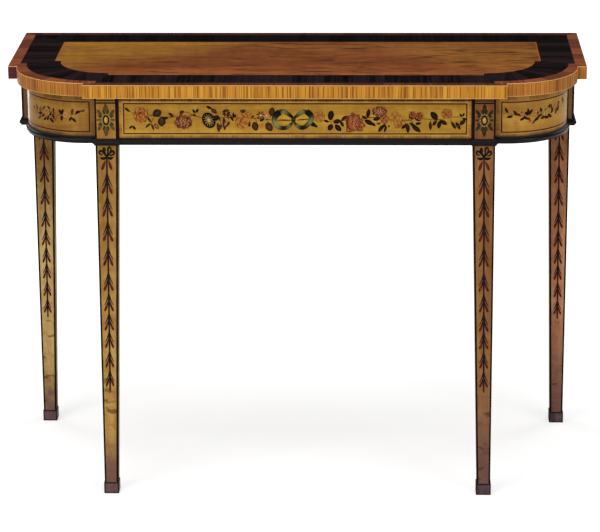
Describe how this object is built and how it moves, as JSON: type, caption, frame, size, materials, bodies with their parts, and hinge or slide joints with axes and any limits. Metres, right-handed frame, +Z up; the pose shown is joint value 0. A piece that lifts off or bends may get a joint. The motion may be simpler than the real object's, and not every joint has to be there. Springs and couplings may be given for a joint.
{
  "type": "demilune table",
  "caption": "Breakfront half-round side table in painted satinwood: crossbanded top, garlanded frieze, ebonised mouldings and square tapered legs on block feet.",
  "frame": {"origin": "on the floor, under the middle of the top", "axes": "+Z up, +X to the right as seen from the front, +Y towards the wall, so the front faces -Y"},
  "size_m": [1.18, 0.485, 0.876],
  "materials": {
    "top_satinwood": "polished",
    "dark_crossband": "polished",
    "outer_crossband": "polished",
    "edge_crossband": "polished",
    "frieze_satinwood": "polished, painted",
    "leg_satinwood": "polished, painted",
    "ebonised_moulding": "ebonised, polished",
    "foot_wood": "polished",
    "groundwork": "bare"
  },
  "bodies": {
    "root": {"back_foot_left": "foot_wood", "back_foot_right": "foot_wood", "back_glue_block_left": "groundwork", "back_glue_block_right": "groundwork", "back_leg_bead_left": "ebonised_moulding", "back_leg_bead_right": "ebonised_moulding", "back_leg_left": "leg_satinwood", "back_leg_right": "leg_satinwood", "back_rail": "groundwork", "cross_brace": "groundwork", "curved_bead_left": "ebonised_moulding", "curved_bead_right": "ebonised_moulding", "curved_frieze_veneer_left": "frieze_satinwood", "curved_frieze_veneer_right": "frieze_satinwood", "curved_rail_left": "groundwork", "curved_rail_right": "groundwork", "ear_tablet_left": "frieze_satinwood", "ear_tablet_right": "frieze_satinwood", "front_bead": "ebonised_moulding", "front_foot_left": "foot_wood", "front_foot_right": "foot_wood", "front_frieze_veneer": "frieze_satinwood", "front_glue_block_left": "groundwork", "front_glue_block_right": "groundwork", "front_leg_bead_left": "ebonised_moulding", "front_leg_bead_right": "ebonised_moulding", "front_leg_left": "leg_satinwood", "front_leg_right": "leg_satinwood", "front_rail": "groundwork", "leg_tablet_left": "frieze_satinwood", "leg_tablet_right": "frieze_satinwood", "side_bead_left": "ebonised_moulding", "side_bead_right": "ebonised_moulding", "side_frieze_veneer_left": "frieze_satinwood", "side_frieze_veneer_right": "frieze_satinwood", "side_rail_left": "groundwork", "side_rail_right": "groundwork", "top_board": "groundwork", "top_centre_panel": "top_satinwood", "top_dark_band_back": "dark_crossband", "top_dark_band_corner_left": "dark_crossband", "top_dark_band_corner_right": "dark_crossband", "top_dark_band_front": "dark_crossband", "top_dark_band_side_left": "dark_crossband", "top_dark_band_side_right": "dark_crossband", "top_edge_corner_left": "edge_crossband", "top_edge_corner_right": "edge_crossband", "top_edge_front": "edge_crossband", "top_edge_side_left": "edge_crossband", "top_edge_side_right": "edge_crossband", "top_outer_band_back": "outer_crossband", "top_outer_band_corner_left": "outer_crossband", "top_outer_band_corner_right": "outer_crossband", "top_outer_band_front": "outer_crossband", "top_outer_band_side_left": "outer_crossband", "top_outer_band_side_right": "outer_crossband"}
  },
  "joints": []
}
